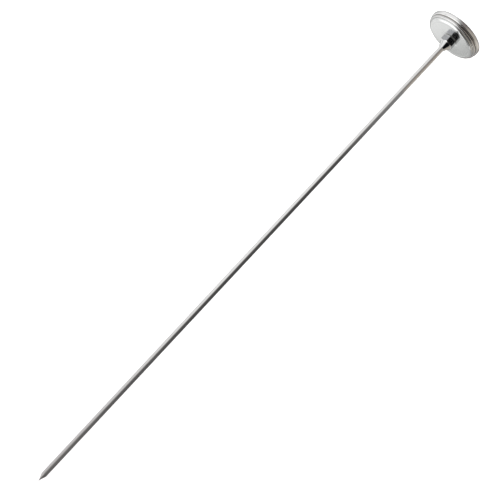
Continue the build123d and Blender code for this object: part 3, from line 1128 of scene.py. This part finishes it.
def make_world():
    """Studio with a white and a dark side, which the steel mirrors; the camera itself sees plain white."""
    world = bpy.data.worlds.new("studio")
    bpy.context.scene.world = world
    world.use_nodes = True
    tree = world.node_tree
    background = tree.nodes["Background"]
    coords = tree.nodes.new("ShaderNodeTexCoord")
    parts = tree.nodes.new("ShaderNodeSeparateXYZ")
    angle = tree.nodes.new("ShaderNodeMath")
    angle.operation = "ARCTAN2"
    turn = tree.nodes.new("ShaderNodeMapRange")
    turn.inputs["From Min"].default_value = -math.pi
    turn.inputs["From Max"].default_value = math.pi
    tree.links.new(coords.outputs["Generated"], parts.inputs[0])
    tree.links.new(parts.outputs["Z"], angle.inputs[0])
    tree.links.new(parts.outputs["X"], angle.inputs[1])
    tree.links.new(angle.outputs[0], turn.inputs["Value"])

    joined = None
    for start, full, stops in WALLS:
        wall = wall_ramp(tree, turn.outputs["Result"], stops)
        if joined is None:
            joined = wall
            continue
        height = tree.nodes.new("ShaderNodeMapRange")
        height.inputs["From Min"].default_value = start
        height.inputs["From Max"].default_value = full
        mix = tree.nodes.new("ShaderNodeMix")
        mix.data_type = "RGBA"
        tree.links.new(parts.outputs["Y"], height.inputs["Value"])
        tree.links.new(height.outputs["Result"], mix.inputs["Factor"])
        tree.links.new(joined, mix.inputs["A"])
        tree.links.new(wall, mix.inputs["B"])
        joined = mix.outputs["Result"]
    path = tree.nodes.new("ShaderNodeLightPath")
    seen = tree.nodes.new("ShaderNodeMix")
    seen.data_type = "RGBA"
    seen.inputs["B"].default_value = (1, 1, 1, 1)
    tree.links.new(path.outputs["Is Camera Ray"], seen.inputs["Factor"])
    tree.links.new(joined, seen.inputs["A"])
    tree.links.new(seen.outputs["Result"], background.inputs["Color"])


def make_flag():
    """Dark curtain beside the stem, seen only in the steel: a bent sheet, paler near its two ends."""
    radius = 0.04
    start, end = 112.0, 262.0
    near, far = 0.03, 0.50
    m = Nodes("curtain", 0.9)
    folds = m.noise(m.place((30, 30, 30)), 1.0)
    middle_start = 0.11
    paler_start, paler_end = 0.28, 0.46
    dark = m.span(folds, 0.075, 0.10)
    by_hub = m.span(m.along_y(near, middle_start), 0.20, 0.0, 0, 1)
    by_point = m.span(m.along_y(paler_start, paler_end), 0.0, 0.12, 0, 1)
    tone = m.node("ShaderNodeCombineColor")
    value = m.add(dark, m.add(by_hub, by_point))
    for channel in ("Red", "Green", "Blue"):
        m.link(value, tone.inputs[channel])
    m.link(tone.outputs["Color"], m.shader.inputs["Emission Color"])
    m.set("Emission Strength", 1.0)
    m.set("Base Color", (0, 0, 0, 1))
    m.set("Specular IOR Level", 0.0)
    bm = bmesh.new()
    steps = 48
    rows = []
    for i in range(steps + 1):
        a = math.radians(start + (end - start) * i / steps)
        x, z = radius * math.cos(a), radius * math.sin(a)
        rows.append([bm.verts.new((x, near, z)), bm.verts.new((x, far, z))])
    for one, two in zip(rows, rows[1:]):
        bm.faces.new((one[0], one[1], two[1], two[0]))
    mesh = bpy.data.meshes.new("curtain")
    bm.to_mesh(mesh)
    bm.free()
    mesh.materials.append(m.material)
    flag = bpy.data.objects.new("curtain", mesh)
    bpy.context.scene.collection.objects.link(flag)
    flag.visible_camera = False
    flag.visible_diffuse = False
    flag.visible_shadow = False
    flag.visible_transmission = False


def make_softbox():
    """Soft light below the head, off one side of the case's back, so that its reflection fades across it."""
    size = 0.10
    centre = Vector((0.089, 0.067, -0.105))
    target = Vector((0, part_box("case_pan")[1].y, 0))
    data = bpy.data.lights.new("softbox", "AREA")
    data.shape = "SQUARE"
    data.size = size
    data.energy = 0.42 * math.pi * size**2
    light = bpy.data.objects.new("softbox", data)
    light.location = centre
    light.rotation_euler = (centre - target).to_track_quat("Z", "Y").to_euler()
    light.visible_camera = False
    bpy.context.scene.collection.objects.link(light)


def make_front_light():
    """Broad light before the dial, left out of mirror images."""
    centre = Vector((0.25, -1.0, 0.45))
    data = bpy.data.lights.new("front_light", "AREA")
    data.shape = "SQUARE"
    data.size = 0.9
    data.energy = 4.6
    light = bpy.data.objects.new("front_light", data)
    light.location = centre
    light.rotation_euler = centre.to_track_quat("Z", "Y").to_euler()
    light.visible_camera = False
    light.visible_glossy = False
    bpy.context.scene.collection.objects.link(light)


def make_camera():
    """Long lens from behind and above, as the whole thermometer is shown."""
    azimuth = math.radians(218.595)
    elevation = math.radians(58.82)
    away = Vector(
        (
            math.sin(azimuth) * math.cos(elevation),
            -math.cos(azimuth) * math.cos(elevation),
            math.sin(elevation),
        )
    )
    right = Vector((math.cos(azimuth), math.sin(azimuth), 0))
    up = away.cross(right)
    lens = 1200.0
    sensor = 36.0
    view_width = 378.95 * MM
    distance = lens / sensor * view_width
    data = bpy.data.cameras.new("camera")
    data.lens = lens
    data.sensor_width = sensor
    data.clip_start = 0.1
    data.clip_end = 200.0
    camera = bpy.data.objects.new("camera", data)
    bpy.context.scene.collection.objects.link(camera)
    middle = Vector((1.454, 232.306, 1.796)) * MM
    camera.location = middle + away * distance
    camera.rotation_euler = Matrix((right, up, away)).transposed().to_euler()
    bpy.context.scene.camera = camera


make_camera()
make_world()
make_softbox()
make_front_light()
make_flag()
make_floor()
make_bezel()
make_pan()
make_lens()
make_gasket()
make_dial()
make_print()
make_pointer()
make_pointer_hub()
make_hub()
make_stem()
dress_nodes()
bpy.context.scene.view_settings.view_transform = "Standard"
